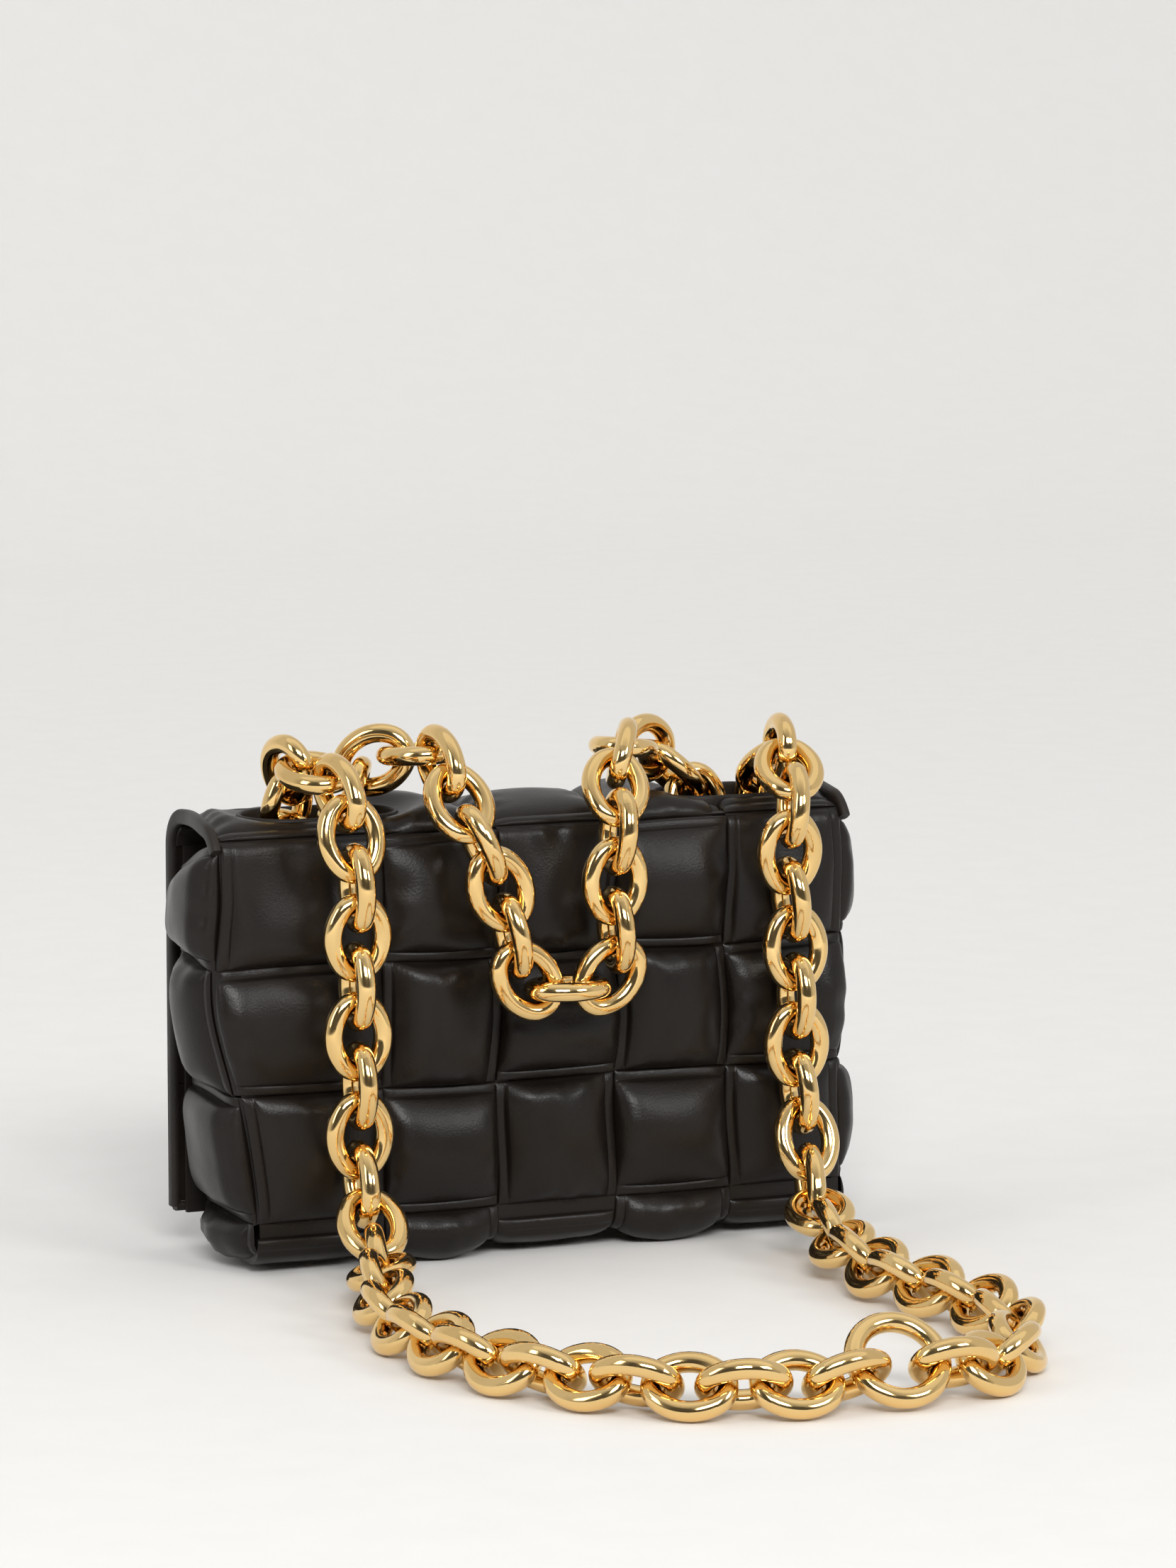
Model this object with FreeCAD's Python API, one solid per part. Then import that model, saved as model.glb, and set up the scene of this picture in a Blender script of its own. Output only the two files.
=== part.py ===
import FreeCAD, Part
import math
import os

os.makedirs("parts", exist_ok=True)
Vec = FreeCAD.Vector

# Lined body: a shallow box of leather panels, open at the far side below the top panel
body_width = 235.0
body_depth = 56.0
body_top = 163.0
base_lift = 10.0
panel_thick = 2.0
front_height = 84.0
gusset_drop = 14.0
half_width = body_width / 2
half_depth = body_depth / 2

# Woven padded strips: columns across, rows up the back
columns = 5
rows = 3
base_wrap_height = 20.0
weave_gap = 3.0
seat_clear = 0.3
web_thick = 1.8
pad_clear = 0.4
pad_edge_thick = 3.2
pad_crown_thick = 7.4
pad_crown_ease = 0.6
base_corner_radius = 9.0
col_pitch = body_width / columns
row_pitch = (body_top - base_wrap_height) / rows
web_low = seat_clear
web_high = seat_clear + web_thick
pad_low = web_high + pad_clear
pad_edge = pad_low + pad_edge_thick
pad_crown = pad_low + pad_crown_thick

# Flap: hangs down the far side from the rolled fold at the end of the top panel
fold_radius = 8.0
fold_clear = 0.3
flap_lining_thick = 2.0
flap_gap = 3.0
flap_hem_z = 14.0
flap_binding_width = 4.0
flap_overhang = 9.0
hinge_y = half_depth + fold_radius + fold_clear
hinge_z = body_top
flap_inner_y = half_depth + flap_gap
flap_outer_y = flap_inner_y + flap_lining_thick
flap_top_z = hinge_z - fold_radius - fold_clear
flap_half_width = half_width + flap_overhang
flap_weave_half = flap_half_width - flap_binding_width

# Slots in the top that the chain runs through, each with a turned leather binding
slot_length = 59.0
slot_width = 33.0
slot_inset = 33.0
slot_binding = 1.6
slot_rise = 0.5
slot_centre_x = half_width - slot_inset

# Magnets of the closure, sunk in the flap lining and the front panel
magnet_radius = 8.0
magnet_spread = 120.0
magnet_z = 58.0
magnet_proud = 1.2

# Zipped pocket on the inside of the back panel
pocket_width = 170.0
pocket_height = 70.0
pocket_thick = 1.4
pocket_top_z = 112.0
zip_width = 160.0
zip_tape_height = 22.0
zip_tape_thick = 0.8
zip_teeth_height = 5.0
zip_teeth_thick = 1.6
slider_length = 11.0
slider_height = 8.0
slider_thick = 2.0
slider_clear = 0.2
slider_rest_share = 0.42
pull_length = 24.0
pull_width = 6.0
pull_thick = 1.6
pull_clear = 0.5

# Chain: four-arc oval links of round wire, each turned a quarter from the last
wire_radius = 3.6
link_half_length = 13.25
link_half_width = 9.75
link_end_radius = 8.0
ring_radius = 15.25
ring_chord_share = 0.97
lay_clear = 0.5
face_clear = 1.2
twist_limit = math.radians(10.0)
hanging_share = 0.75
plumb_share = 0.9
edge_on_share = 0.8
lean_share = 0.3
drop_hinge_share = 0.96
loop_hinge_share = 0.3
sample_share = 0.02
swell_shares = (0.5, 1.6)
closing_rounds = 24
link_home = link_half_length - link_end_radius
link_pitch = 2 * link_home + link_end_radius
side_rise = (link_home ** 2 + link_half_width ** 2 - link_end_radius ** 2)
link_side_radius = side_rise / (2 * (link_half_width - link_end_radius))
weave_face_y = -(half_depth + pad_crown)
weave_top_z = body_top + pad_crown
hang_y = weave_face_y - link_half_width - wire_radius - face_clear
lay_z = link_half_width * math.sqrt(0.5) + wire_radius + lay_clear
lay_zone = lay_z + 2 * link_pitch


def box(low, high):
    """Block between two opposite corners."""
    size = high - low
    return Part.makeBox(size.x, size.y, size.z, low)


def placed(shape, origin, across, up, out):
    """Move a shape from its own across, up and out axes to a place on the bag."""
    matrix = FreeCAD.Matrix(across.x, up.x, out.x, origin.x,
                            across.y, up.y, out.y, origin.y,
                            across.z, up.z, out.z, origin.z,
                            0, 0, 0, 1)
    moved = shape.copy()
    moved.Placement = FreeCAD.Placement(matrix).multiply(moved.Placement)
    return moved


def joined(shapes):
    """Fuse touching shapes into one piece and merge their shared faces."""
    if len(shapes) == 1:
        return shapes[0]
    return shapes[0].fuse(shapes[1:]).removeSplitter()


def export(name, shapes):
    """Write one node: a single piece or a group of separate solids."""
    shape = shapes[0] if len(shapes) == 1 else Part.makeCompound(shapes)
    shape.exportStep("parts/" + name + ".step")


AXIS_X = Vec(1, 0, 0)
AXIS_Y = Vec(0, 1, 0)
AXIS_Z = Vec(0, 0, 1)


class Panel:
    """A flat side of the body: origin in its middle, axes across, up and out."""

    def __init__(self, origin, across, up, out):
        self.origin = origin
        self.across = across
        self.up = up
        self.out = out

    def put(self, shape):
        return placed(shape, self.origin, self.across, self.up, self.out)


back = Panel(Vec(0, -half_depth, 0), AXIS_X, AXIS_Z, -AXIS_Y)
left = Panel(Vec(-half_width, 0, 0), -AXIS_Y, AXIS_Z, -AXIS_X)
right = Panel(Vec(half_width, 0, 0), AXIS_Y, AXIS_Z, AXIS_X)
top = Panel(Vec(0, 0, body_top), AXIS_X, AXIS_Y, AXIS_Z)
flap = Panel(Vec(0, flap_outer_y, 0), -AXIS_X, AXIS_Z, AXIS_Y)


def crowned_profile(low, high, crown):
    """Outline of a pad's section: flat seat, upright edges, arched crown."""
    middle = (low + high) / 2
    corners = [Vec(low, pad_low, 0), Vec(high, pad_low, 0), Vec(high, pad_edge, 0), Vec(low, pad_edge, 0)]
    edges = [
        Part.LineSegment(corners[0], corners[1]).toShape(),
        Part.LineSegment(corners[1], corners[2]).toShape(),
        Part.Arc(corners[2], Vec(middle, crown, 0), corners[3]).toShape(),
        Part.LineSegment(corners[3], corners[0]).toShape(),
    ]
    return Part.Face(Part.Wire(edges))


def pad(across_low, across_high, up_low, up_high):
    """Padded stretch of a strip: crowned both ways, where two arched blocks overlap."""
    by_across = crowned_profile(across_low, across_high, pad_crown).extrude(Vec(0, 0, up_high - up_low))
    by_across = placed(by_across, Vec(0, up_high, 0), AXIS_X, AXIS_Z, -AXIS_Y)
    up_profile = crowned_profile(up_low, up_high, pad_crown + pad_crown_ease)
    by_up = up_profile.extrude(Vec(0, 0, across_high - across_low))
    by_up = placed(by_up, Vec(across_low, 0, 0), AXIS_Y, AXIS_Z, AXIS_X)
    return by_across.common(by_up)


def strip_pieces(side_low, side_high, stops, overs, upright):
    """Webs, pads and steps of one strip on a flat panel.

    stops are the cell edges along the strip and overs says where it lies on top.
    """
    def block(along_low, along_high, out_low, out_high):
        if upright:
            return box(Vec(side_low, along_low, out_low), Vec(side_high, along_high, out_high))
        return box(Vec(along_low, side_low, out_low), Vec(along_high, side_high, out_high))

    half_gap = weave_gap / 2
    pieces = []
    for cell, over in enumerate(overs):
        low = stops[cell]
        high = stops[cell + 1]
        if over and upright:
            pieces.append(pad(side_low, side_high, low + half_gap, high - half_gap))
        elif over:
            pieces.append(pad(low + half_gap, high - half_gap, side_low, side_high))
        else:
            start = low - half_gap if cell > 0 else low
            end = high + half_gap if cell < len(overs) - 1 else high
            pieces.append(block(start, end, web_low, web_high))
    for edge in stops[1:-1]:
        pieces.append(block(edge - half_gap, edge + half_gap, web_low, pad_edge))
    return pieces


def elbow(corner, side, over_out, under_out, width):
    """Step of a strip round an edge, from a pad on one panel to a web on the next."""
    half_gap = weave_gap / 2
    rise = box(Vec(0, pad_low, -half_gap), Vec(width, pad_edge, web_high))
    run = box(Vec(0, -half_gap, web_low), Vec(width, pad_edge, web_high))
    if side.cross(over_out).dot(under_out) < 0:
        side = -side
        corner = corner - side * width
    return [placed(shape, corner, side, over_out, under_out) for shape in (rise, run)]


row_edges = [base_wrap_height + row * row_pitch for row in range(rows + 1)]
column_edges = [-half_width + column * col_pitch for column in range(columns + 1)]
flap_column_edges = [flap_weave_half * (2 * column / columns - 1) for column in range(columns + 1)]


def column_span(column, edges):
    """Both long edges of a column's strip, columns counted from 1."""
    return edges[column - 1] + weave_gap / 2, edges[column] - weave_gap / 2


def slot_prism(centre_x, grow, low, high):
    """Round-ended upright prism over a slot, widened by grow all round."""
    radius = slot_width / 2 + grow
    reach = slot_length / 2 - slot_width / 2
    middle = box(Vec(centre_x - reach, -radius, low), Vec(centre_x + reach, radius, high))
    ends = [Part.makeCylinder(radius, high - low, Vec(centre_x + sign * reach, 0, low)) for sign in (-1, 1)]
    return joined([middle] + ends)


slot_bottom = body_top - panel_thick
slot_top = body_top + pad_edge + slot_rise
slot_places = {"left": -slot_centre_x, "right": slot_centre_x}
slot_cuts = [slot_prism(x, slot_binding + seat_clear, slot_bottom - panel_thick, weave_top_z + panel_thick)
             for x in slot_places.values()]

# Lined body panels
inner_half_width = half_width - panel_thick
inner_half_depth = half_depth - panel_thick
panel_bottom = base_lift + panel_thick
panel_top = body_top - panel_thick
export("base_panel", [box(Vec(-half_width, -half_depth, base_lift),
                          Vec(half_width, half_depth, panel_bottom))])
export("back_panel", [box(Vec(-half_width, -half_depth, panel_bottom),
                          Vec(half_width, -inner_half_depth, panel_top))])
front_top = base_lift + front_height
export("front_panel", [box(Vec(-half_width, inner_half_depth, panel_bottom),
                           Vec(half_width, half_depth, front_top))])
gusset_outline = [Vec(0, -inner_half_depth, panel_bottom), Vec(0, inner_half_depth, panel_bottom),
                  Vec(0, inner_half_depth, panel_top - gusset_drop), Vec(0, -inner_half_depth, panel_top)]
gusset = Part.Face(Part.makePolygon(gusset_outline + gusset_outline[:1])).extrude(AXIS_X * panel_thick)
export("left_gusset", [gusset.translated(Vec(-half_width, 0, 0))])
export("right_gusset", [gusset.translated(Vec(inner_half_width, 0, 0))])
top_panel = box(Vec(-half_width, -half_depth, panel_top), Vec(half_width, half_depth, body_top))
export("top_panel", [top_panel.cut(slot_cuts)])
for side_name, place in slot_places.items():
    binding = slot_prism(place, slot_binding, slot_bottom, slot_top)
    binding = binding.cut(slot_prism(place, 0, slot_bottom, slot_top))
    export("slot_binding_" + side_name, [binding])

# The gusset tops slope down towards the far side, and so do the strips on them
slope_run = 2 * inner_half_depth
slope_outline = [Vec(0, -inner_half_depth, panel_top), Vec(0, half_depth + pad_crown, panel_top),
                 Vec(0, half_depth + pad_crown, panel_top - gusset_drop * (slope_run + pad_crown) / slope_run)]
slope_face = Part.Face(Part.makePolygon(slope_outline + slope_outline[:1]))
slope_cut = slope_face.extrude(AXIS_X * (body_width + 4 * pad_crown))
slope_cut = slope_cut.translated(AXIS_X * (-half_width - 2 * pad_crown))

# Upright strips: up the back and over the top, ending at the fold
for column in range(1, columns + 1):
    low, high = column_span(column, column_edges)
    back_over = [(rows - row + column) % 2 == 0 for row in range(rows)]
    top_over = column % 2 == 0
    pieces = [back.put(piece) for piece in strip_pieces(low, high, row_edges, back_over, True)]
    top_stops = [-half_depth, half_depth]
    pieces += [top.put(piece) for piece in strip_pieces(low, high, top_stops, [top_over], True)]
    corner = Vec(low, -half_depth, body_top)
    over_out, under_out = (AXIS_Z, -AXIS_Y) if top_over else (-AXIS_Y, AXIS_Z)
    pieces += elbow(corner, AXIS_X, over_out, under_out, high - low)
    strip = joined(pieces)
    for cut in slot_cuts:
        strip = strip.cut(cut)
    export("upright_strip_%d" % column, [strip])

# Side strips: one upright strip on each gusset
side_low = -half_depth + weave_gap / 2
side_high = half_depth - weave_gap / 2
side_over = [(rows - row) % 2 == 0 for row in range(rows)]
for side_name, panel in (("left", left), ("right", right)):
    pieces = [panel.put(piece) for piece in strip_pieces(side_low, side_high, row_edges, side_over, True)]
    export("side_strip_" + side_name, [joined(pieces).cut(slope_cut)])

# Cross bands: each runs round the left gusset, the back and the right gusset
for row in range(rows):
    low = row_edges[row] + weave_gap / 2
    high = row_edges[row + 1] - weave_gap / 2
    number = rows - row
    overs = [(number + column) % 2 == 1 for column in range(columns + 2)]
    pieces = [back.put(piece) for piece in strip_pieces(low, high, column_edges, overs[1:-1], False)]
    for panel, over, sign in ((left, overs[0], -1), (right, overs[-1], 1)):
        runs = strip_pieces(low, high, [-half_depth, half_depth], [over], False)
        pieces += [panel.put(piece) for piece in runs]
        corner = Vec(sign * half_width, -half_depth, low)
        side_out = AXIS_X * sign
        over_out, under_out = (side_out, -AXIS_Y) if over else (-AXIS_Y, side_out)
        pieces += elbow(corner, AXIS_Z, over_out, under_out, high - low)
    export("cross_band_%d" % number, [joined(pieces).cut(slope_cut)])

# Top band: lies along the top, over the odd columns, with both slots through it
top_overs = [column % 2 == 1 for column in range(1, columns + 1)]
band = joined([top.put(piece) for piece in strip_pieces(side_low, side_high, column_edges, top_overs, False)])
export("top_band", [band.cut(slot_cuts)])


def base_section(out_low, out_high, radius):
    """Profile of a base strip: under the base and up round the lower back edge."""
    low_y = -half_depth - out_high
    low_z = base_lift - out_high
    inner_y = -half_depth - out_low
    inner_z = base_lift - out_low
    lift_z = base_wrap_height - weave_gap / 2
    turn = radius * (1 - math.sqrt(0.5))
    points = [Vec(0, low_y, lift_z), Vec(0, low_y, low_z + radius), Vec(0, low_y + turn, low_z + turn),
              Vec(0, low_y + radius, low_z), Vec(0, half_depth, low_z), Vec(0, half_depth, inner_z),
              Vec(0, inner_y, inner_z), Vec(0, inner_y, lift_z)]
    edges = [Part.LineSegment(points[0], points[1]).toShape(), Part.Arc(*points[1:4]).toShape()]
    for start, end in zip(points[3:], points[4:] + points[:1]):
        edges.append(Part.LineSegment(start, end).toShape())
    return Part.Face(Part.Wire(edges))


# Base: upright strips and one cross band turned under, standing on the floor
base_pad = base_section(pad_low, base_lift, base_corner_radius)
base_web = base_section(web_low, web_high, web_high)
band_pieces = []
for column in range(1, columns + 1):
    low, high = column_span(column, column_edges)
    band_over = column % 2 == 1
    strip_face = base_web if band_over else base_pad
    export("base_strip_%d" % column, [strip_face.extrude(AXIS_X * (high - low)).translated(AXIS_X * low)])
    edge_low = low - weave_gap if column > 1 else low
    edge_high = high + weave_gap if column < columns else high
    if band_over:
        band_pieces.append(base_pad.extrude(AXIS_X * (high - low)).translated(AXIS_X * low))
    else:
        band_pieces.append(base_web.extrude(AXIS_X * (edge_high - edge_low)).translated(AXIS_X * edge_low))
for edge in column_edges[1:-1]:
    step = base_section(web_low, pad_edge, base_corner_radius)
    band_pieces.append(step.extrude(AXIS_X * weave_gap).translated(AXIS_X * (edge - weave_gap / 2)))
export("base_band", [joined(band_pieces)])

# Rolled fold: the bend of leather between the top panel and the flap, round the hinge line
fold = Part.makeCylinder(fold_radius, body_width, Vec(-half_width, hinge_y, hinge_z), AXIS_X)
export("top_fold", [fold])

# Flap: lining, bound edge, upright strips and cross bands
magnet_places = [-magnet_spread / 2, magnet_spread / 2]
lining = box(Vec(-flap_half_width, flap_inner_y, flap_hem_z), Vec(flap_half_width, flap_outer_y, flap_top_z))
export("flap_lining", [lining])
flap_row_edges = [flap_hem_z + flap_binding_width + row * (flap_top_z - flap_hem_z - flap_binding_width) / rows
                  for row in range(rows + 1)]
for column in range(1, columns + 1):
    low, high = column_span(column, flap_column_edges)
    overs = [(rows - row + column) % 2 == 0 for row in range(rows)]
    pieces = [flap.put(piece) for piece in strip_pieces(low, high, flap_row_edges, overs, True)]
    export("flap_strip_%d" % column, [joined(pieces)])
for row in range(rows):
    low = flap_row_edges[row] + weave_gap / 2
    high = flap_row_edges[row + 1] - weave_gap / 2
    number = rows - row
    overs = [(number + column) % 2 == 1 for column in range(1, columns + 1)]
    pieces = [flap.put(piece) for piece in strip_pieces(low, high, flap_column_edges, overs, False)]
    export("flap_band_%d" % number, [joined(pieces)])
binding_out = flap_outer_y + pad_edge
binding_in = flap_outer_y + seat_clear
hem = box(Vec(-flap_half_width, binding_in, flap_hem_z),
          Vec(flap_half_width, binding_out, flap_hem_z + flap_binding_width))
band_width = flap_binding_width - seat_clear
side_bands = [box(Vec(low, binding_in, flap_hem_z), Vec(low + band_width, binding_out, flap_top_z))
              for low in (-flap_half_width, flap_half_width - band_width)]
export("flap_binding", [joined([hem] + side_bands)])

# Magnets: two discs on the flap lining meet two on the front panel
panel_magnets = [Part.makeCylinder(magnet_radius, magnet_proud, Vec(x, half_depth, magnet_z), AXIS_Y)
                 for x in magnet_places]
export("panel_magnets", panel_magnets)
flap_magnets = [Part.makeCylinder(magnet_radius, magnet_proud,
                                  Vec(x, flap_inner_y - magnet_proud, magnet_z), AXIS_Y)
                for x in magnet_places]
export("flap_magnets", flap_magnets)

# Zipped pocket: a flat bag on the back panel, a tape with teeth, a slider and its pull
pocket_y = -inner_half_depth
pocket_low = pocket_top_z - pocket_height
export("pocket_bag", [box(Vec(-pocket_width / 2, pocket_y, pocket_low),
                          Vec(pocket_width / 2, pocket_y + pocket_thick, pocket_top_z))])
tape_y = pocket_y + pocket_thick
tape_z = pocket_top_z - zip_tape_height / 2
export("zip_tape", [box(Vec(-zip_width / 2, tape_y, tape_z - zip_tape_height / 2),
                        Vec(zip_width / 2, tape_y + zip_tape_thick, tape_z + zip_tape_height / 2))])
teeth_y = tape_y + zip_tape_thick
export("zip_teeth", [box(Vec(-zip_width / 2, teeth_y, tape_z - zip_teeth_height / 2),
                         Vec(zip_width / 2, teeth_y + zip_teeth_thick, tape_z + zip_teeth_height / 2))])
slider_y = teeth_y + zip_teeth_thick + slider_clear
slider_x = -zip_width * slider_rest_share
export("zip_slider", [box(Vec(slider_x - slider_length / 2, slider_y, tape_z - slider_height / 2),
                          Vec(slider_x + slider_length / 2, slider_y + slider_thick,
                              tape_z + slider_height / 2))])
pull_y = slider_y + slider_thick + pull_clear
pull_top = tape_z + pull_width / 2
export("zip_pull", [box(Vec(slider_x - pull_width / 2, pull_y, pull_top - pull_length),
                        Vec(slider_x + pull_width / 2, pull_y + pull_thick, pull_top))])


def torus_arc(centre, radius, start, sweep):
    """Bend of round wire about a centre in the flat of a link, between two angles."""
    spoke = Vec(math.cos(start), math.sin(start), 0)
    tangent = Vec(-spoke.y, spoke.x, 0)
    section = Part.Face(Part.Wire(Part.makeCircle(wire_radius, centre + spoke * radius, tangent)))
    return section.revolve(centre, AXIS_Z, math.degrees(sweep))


def oval_link():
    """Link of four wire bends: two tight ends and two slack sides, tangent to each other."""
    side_offset = link_side_radius - link_half_width
    split = math.atan2(side_offset, link_home)
    ends = [(Vec(link_home, 0, 0), link_end_radius, -split, 2 * split),
            (Vec(-link_home, 0, 0), link_end_radius, math.pi - split, 2 * split)]
    sides = [(Vec(0, -side_offset, 0), link_side_radius, split, math.pi - 2 * split),
             (Vec(0, side_offset, 0), link_side_radius, math.pi + split, math.pi - 2 * split)]
    return joined([torus_arc(*bend) for bend in ends + sides])


link_solid = oval_link()


class Link:
    """One chain link: its middle, the way it points and the way its flat faces."""

    def __init__(self, centre, along, normal):
        self.centre = centre
        self.along = along
        self.normal = normal

    def end(self):
        return self.centre + self.along * link_home

    def start(self):
        return self.centre - self.along * link_home

    def edge_on(self):
        return abs(self.normal.dot(AXIS_X)) > edge_on_share

    def shape(self):
        return placed(link_solid, self.centre, self.along, self.normal.cross(self.along), self.normal)


def unit(vector):
    return vector * (1 / vector.Length)


def settle(aim, normal, low, hand):
    """Turn that brings a link's flat towards the way links rest there, at most one step.

    Links on the floor lean half over, to the hand given. All others face along the bag's own axes.
    """
    bias = hand * lean_share if low else 0
    if low:
        goal = unit(AXIS_Z.cross(aim)) + AXIS_Z
    elif abs(aim.z) > hanging_share:
        goal = AXIS_X
    else:
        goal = AXIS_Z
    goal = goal - aim * goal.dot(aim)
    angle = math.atan2(normal.cross(goal).dot(aim), normal.dot(goal))
    quarter = math.pi / 2
    angle = angle - quarter * round(angle / quarter + bias)
    return max(-twist_limit, min(twist_limit, angle))


def next_link(link, target, hand):
    """The link hooked into the last one's end and pointing at a target.

    The wire of each link passes through the middle of the other's end bend.
    """
    end = link.end()
    rest_z = abs(link.normal.cross(link.along).z) * link_half_width + wire_radius + lay_clear
    aim = unit(Vec(target.x, target.y, max(target.z, rest_z)) - end)
    out = aim.dot(link.normal)
    flat = unit(aim - link.normal * out)
    lean = math.asin(out)
    side = link.normal * math.cos(lean) - flat * math.sin(lean)
    normal = aim.cross(side)
    turn = settle(aim, normal, end.z < lay_zone, hand)
    normal = normal * math.cos(turn) + aim.cross(normal) * math.sin(turn)
    return Link(end + flat * link_end_radius + aim * link_home, aim, normal)


def samples(route):
    """Points close together along the straight runs of a route."""
    step = link_pitch * sample_share
    points = []
    for start, end in zip(route, route[1:]):
        count = max(1, round((end - start).Length / step))
        points += [start + (end - start) * (index / count) for index in range(count)]
    return points + route[-1:]


def follow(first, route, hand, count=None):
    """Links hooked on one after another along a route, until it or the count is used up."""
    points = samples(route)
    links = [first]
    ahead = 0
    while count is None or len(links) <= count:
        end = links[-1].end()
        while ahead < len(points) and (points[ahead] - end).Length < link_pitch:
            ahead += 1
        if ahead == len(points):
            break
        links.append(next_link(links[-1], points[ahead], hand))
    return links[1:]


def swollen(floor_route, swell_share):
    """Floor route with its bow scaled about the straight line between its two ends."""
    start = floor_route[0]
    chord = floor_route[-1] - start
    feet = [start + chord * ((point - start).dot(chord) / chord.dot(chord)) for point in floor_route]
    return [foot + (point - foot) * swell_share for foot, point in zip(feet, floor_route)]


def closing_run(first, hung_route, floor_route, extra, hand):
    """Run of links whose last one ends right at the end of the floor route.

    The floor route bows out more or less until a whole number of links fills it.
    """
    count = len(follow(first, hung_route + floor_route, hand)) + extra
    low_share, high_share = swell_shares
    for _ in range(closing_rounds):
        share = (low_share + high_share) / 2
        route = swollen(floor_route, share)
        heading = unit(route[-1] - route[-2])
        links = follow(first, hung_route + route + [route[-1] + heading * (4 * link_pitch)], hand, count)
        if (links[-1].end() - route[-1]).dot(heading) > 0:
            low_share = share
        else:
            high_share = share
    return links


def lying(x_share, reach_share, rise_share=0):
    """Point on the floor in front of the bag, as shares of the body's width and of a link's length."""
    return Vec(x_share * body_width, hang_y + reach_share * body_width, lay_z + rise_share * link_half_length)


def hanging(x_share, z_share):
    """Point in front of the back, as shares of the body's width and top height."""
    return Vec(x_share * body_width, hang_y, z_share * body_top)


over_z = weave_top_z + link_half_width + wire_radius
under_z = panel_top - link_half_width - wire_radius


def over(x_share, y_share, rise_share):
    """Point above the top, as shares of the body's width and depth and of a link's length."""
    return Vec(x_share * body_width, y_share * body_depth, over_z + rise_share * link_half_length)


def under(x_share, y_share, drop_share):
    """Point below the top panel, as shares of the body's width and depth and of a link's length."""
    return Vec(x_share * body_width, y_share * body_depth, under_z - drop_share * link_half_length)


def slot_x(side, out_share):
    """Place across the bag at a slot: side -1 or 1, and the share of the slot's length out from its middle."""
    return side * (slot_centre_x + out_share * slot_length)


def slot_over(side, out_share, y_share, rise_share):
    """Point above a slot, as shares of the slot's length and width and of a link's length."""
    return Vec(slot_x(side, out_share), y_share * slot_width, over_z + rise_share * link_half_length)


def slot_under(side, out_share, y_share, drop_share):
    """Point under a slot, as shares of the slot's length and width and of a link's length."""
    return Vec(slot_x(side, out_share), y_share * slot_width, under_z - drop_share * link_half_length)


def slot_edge(side, out_share, y_share, rise_share):
    """Point above the back edge by a slot, as shares of the slot's length, body's depth and link's length."""
    return Vec(slot_x(side, out_share), y_share * body_depth, over_z + rise_share * link_half_length)


swag_bottom = Link(hanging(-0.02, 0.645), AXIS_X, AXIS_Z)
swag_bottom_back = Link(swag_bottom.centre, -AXIS_X, AXIS_Z)

# Right arm of the swag, over the top edge, through the right slot, back under the top, out of the left slot
right_route = [hanging(0.055, 0.70), hanging(0.065, 0.85), hanging(0.07, 1.05), over(0.095, -0.65, 0.1),
               over(0.135, -0.3, 0.2), over(0.195, -0.08, 0.2),
               slot_over(1, -0.476, -0.034, -0.05), slot_over(1, -0.337, 0, -0.7),
               slot_under(1, -0.297, 0, -1.3),
               slot_under(1, -0.317, -0.034, -0.7), slot_under(1, -0.417, -0.17, -0.1),
               slot_under(1, -0.616, -0.27, 0.25),
               under(0.12, -0.18, 0.3), slot_under(-1, -0.436, -0.322, 0.3),
               slot_under(-1, -0.118, -0.322, 0.15),
               slot_under(-1, 0.101, -0.204, -0.3), slot_under(-1, 0.221, 0.102, -1.3),
               slot_over(-1, 0.241, -0.034, -1.0),
               slot_over(-1, 0.241, -0.22, -0.25), slot_edge(-1, 0.221, -0.3, 0.15),
               slot_edge(-1, 0.181, -0.5, 0.15),
               slot_edge(-1, 0.121, -0.7, -0.25), slot_edge(-1, 0.101, -0.86, -0.95), hanging(-0.38, 0.97),
               hanging(-0.375, 0.5), hanging(-0.375, 0.28)]
left_floor = [lying(-0.38, -0.09, 0.55), lying(-0.41, -0.20, 0.3), lying(-0.455, -0.34, 0.05),
              lying(-0.48, -0.50),
              lying(-0.475, -0.66), lying(-0.43, -0.82), lying(-0.35, -0.96), lying(-0.25, -1.06),
              lying(-0.13, -1.11, 0.05), lying(-0.03, -1.105, 0.1)]

# Left arm of the swag, over the top edge, through the left slot, along under the top, out of the right slot
left_route = [hanging(-0.08, 0.70), hanging(-0.14, 0.86), hanging(-0.18, 1.03), over(-0.195, -0.65, 0.1),
              over(-0.21, -0.35, 0.4), slot_over(-1, -0.456, -0.17, 0.3), slot_over(-1, -0.297, 0, -0.3),
              slot_over(-1, -0.217, 0.034, -1.2), slot_under(-1, -0.217, 0.204, -1.0),
              slot_under(-1, -0.317, 0.407, 0),
              slot_under(-1, -0.516, 0.475, 1.0), under(-0.16, 0.27, 1.6), under(0.2, 0.25, 1.6),
              slot_under(1, -0.158, 0.373, 1.0), slot_under(1, 0.101, 0.255, 0.1),
              slot_under(1, 0.201, 0.119, -1.1),
              slot_over(1, 0.209, -0.034, -1.1), slot_over(1, 0.221, -0.22, -0.55),
              slot_edge(1, 0.213, -0.3, -0.2),
              slot_edge(1, 0.181, -0.5, -0.05), slot_edge(1, 0.121, -0.7, -0.25),
              slot_edge(1, 0.081, -0.86, -0.85),
              hanging(0.37, 0.98), hanging(0.38, 0.5), hanging(0.39, 0.28)]
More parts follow.
